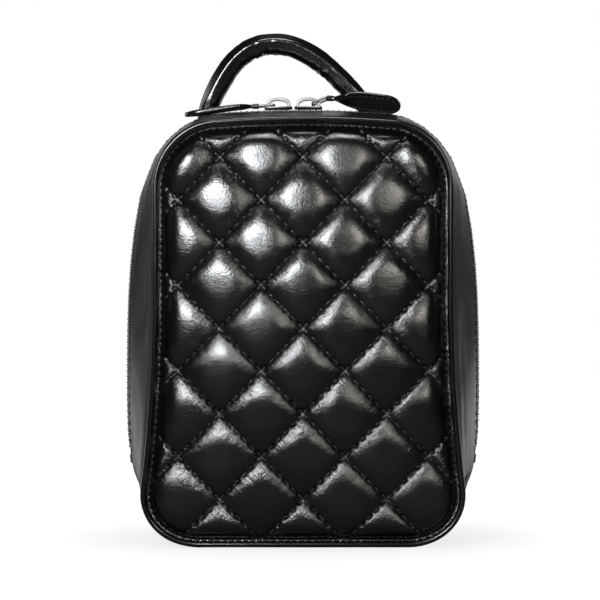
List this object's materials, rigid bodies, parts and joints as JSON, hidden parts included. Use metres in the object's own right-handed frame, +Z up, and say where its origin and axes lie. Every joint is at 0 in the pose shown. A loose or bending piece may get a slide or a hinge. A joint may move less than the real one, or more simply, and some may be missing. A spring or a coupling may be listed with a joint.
{
  "type": "leather jewellery case",
  "caption": "Upright box-shaped case in quilted black leather, with a top handle, a drop-down front cover on a two-way zip, and a velvet-lined inside.",
  "frame": {"origin": "middle of the foot, on the surface that the case stands on", "axes": "+Z up, front cover towards -Y, +X to the right seen from the front"},
  "size_m": [0.1468, 0.0956, 0.2135],
  "materials": {
    "gusset_leather": "polished black leather, smooth",
    "trim_leather": "polished black leather, turned and stitched",
    "quilted_leather": "glossy black leather, diamond quilted",
    "handle_leather": "polished black leather, rolled",
    "pull_leather": "polished black leather, folded",
    "grey_board": "plain board",
    "velvet_lining": "short velvet",
    "velvet_fittings": "short velvet over foam and board",
    "zip_tape": "woven tape",
    "zip_teeth": "moulded black plastic",
    "slider_metal": "plated, polished",
    "hook_metal": "plated, polished",
    "mirror_glass": "silvered glass",
    "cord": "cotton cord"
  },
  "bodies": {
    "case": {"back_gusset": "gusset_leather", "base_gusset": "gusset_leather", "back_stiffener": "grey_board", "base_stiffener": "grey_board", "back_binding": "trim_leather", "back_panel": "quilted_leather", "back_board": "grey_board", "back_lining": "velvet_lining", "back_side_lining": "velvet_lining", "base_lining": "velvet_lining", "back_zip_tape": "zip_tape", "back_zip_teeth": "zip_teeth", "back_zip_stops": "zip_teeth", "handle_patch_left": "trim_leather", "handle_patch_right": "trim_leather", "ring_rolls": "velvet_fittings", "long_divider": "velvet_fittings", "short_divider": "velvet_fittings", "hook_bar": "velvet_fittings", "necklace_hooks": "hook_metal", "necklace_pocket": "velvet_fittings"},
    "cover": {"front_gusset": "gusset_leather", "front_stiffener": "grey_board", "front_binding": "trim_leather", "front_panel": "quilted_leather", "front_board": "grey_board", "front_lining": "velvet_lining", "front_side_lining": "velvet_lining", "front_zip_tape": "zip_tape", "front_zip_teeth": "zip_teeth", "front_zip_stops": "zip_teeth", "mirror_frame": "trim_leather", "mirror_glass": "mirror_glass"},
    "handle": {"handle_grip": "handle_leather", "handle_core": "cord"},
    "left_slider": {"left_slider": "slider_metal"},
    "left_link": {"left_pull_link": "slider_metal"},
    "left_tab": {"left_pull": "pull_leather"},
    "right_slider": {"right_slider": "slider_metal"},
    "right_link": {"right_pull_link": "slider_metal"},
    "right_tab": {"right_pull": "pull_leather"}
  },
  "joints": [
    {"name": "cover_drop", "type": "hinge", "parent": "case", "child": "cover", "pos_m": [0, -0.03645, 0], "axis": [1, 0, 0], "range_deg": [0, 88]},
    {"name": "handle_tilt", "type": "hinge", "parent": "case", "child": "handle", "pos_m": [0, 0.019, 0.1762], "axis": [1, 0, 0], "range_deg": [-25, 5], "stiffness_Nm_per_rad": 0.05},
    {"name": "left_slider_travel", "type": "slide", "parent": "case", "child": "left_slider", "axis": [-0.9994, 0, -0.0334], "range_m": [0, 0.01501]},
    {"name": "left_link_swing", "type": "hinge", "parent": "left_slider", "child": "left_link", "pos_m": [-0.01206, 0, 0.18107], "axis": [0, 1, 0], "range_deg": [0, 95]},
    {"name": "left_pull_fold", "type": "hinge", "parent": "left_link", "child": "left_tab", "pos_m": [-0.01864, 0, 0.1806], "axis": [0, 1, 0], "range_deg": [0, 60]},
    {"name": "right_slider_travel", "type": "slide", "parent": "case", "child": "right_slider", "axis": [0.9996, 0, -0.0268], "range_m": [0, 0.02401]},
    {"name": "right_link_swing", "type": "hinge", "parent": "right_slider", "child": "right_link", "pos_m": [0.00402, 0, 0.18161], "axis": [0.0007, -0.9848, 0.1736], "range_deg": [0, 90]},
    {"name": "right_pull_fold", "type": "hinge", "parent": "right_link", "child": "right_tab", "pos_m": [0.01014, 0.00043, 0.18402], "axis": [0.0007, -0.9848, 0.1736], "range_deg": [0, 60]}
  ]
}
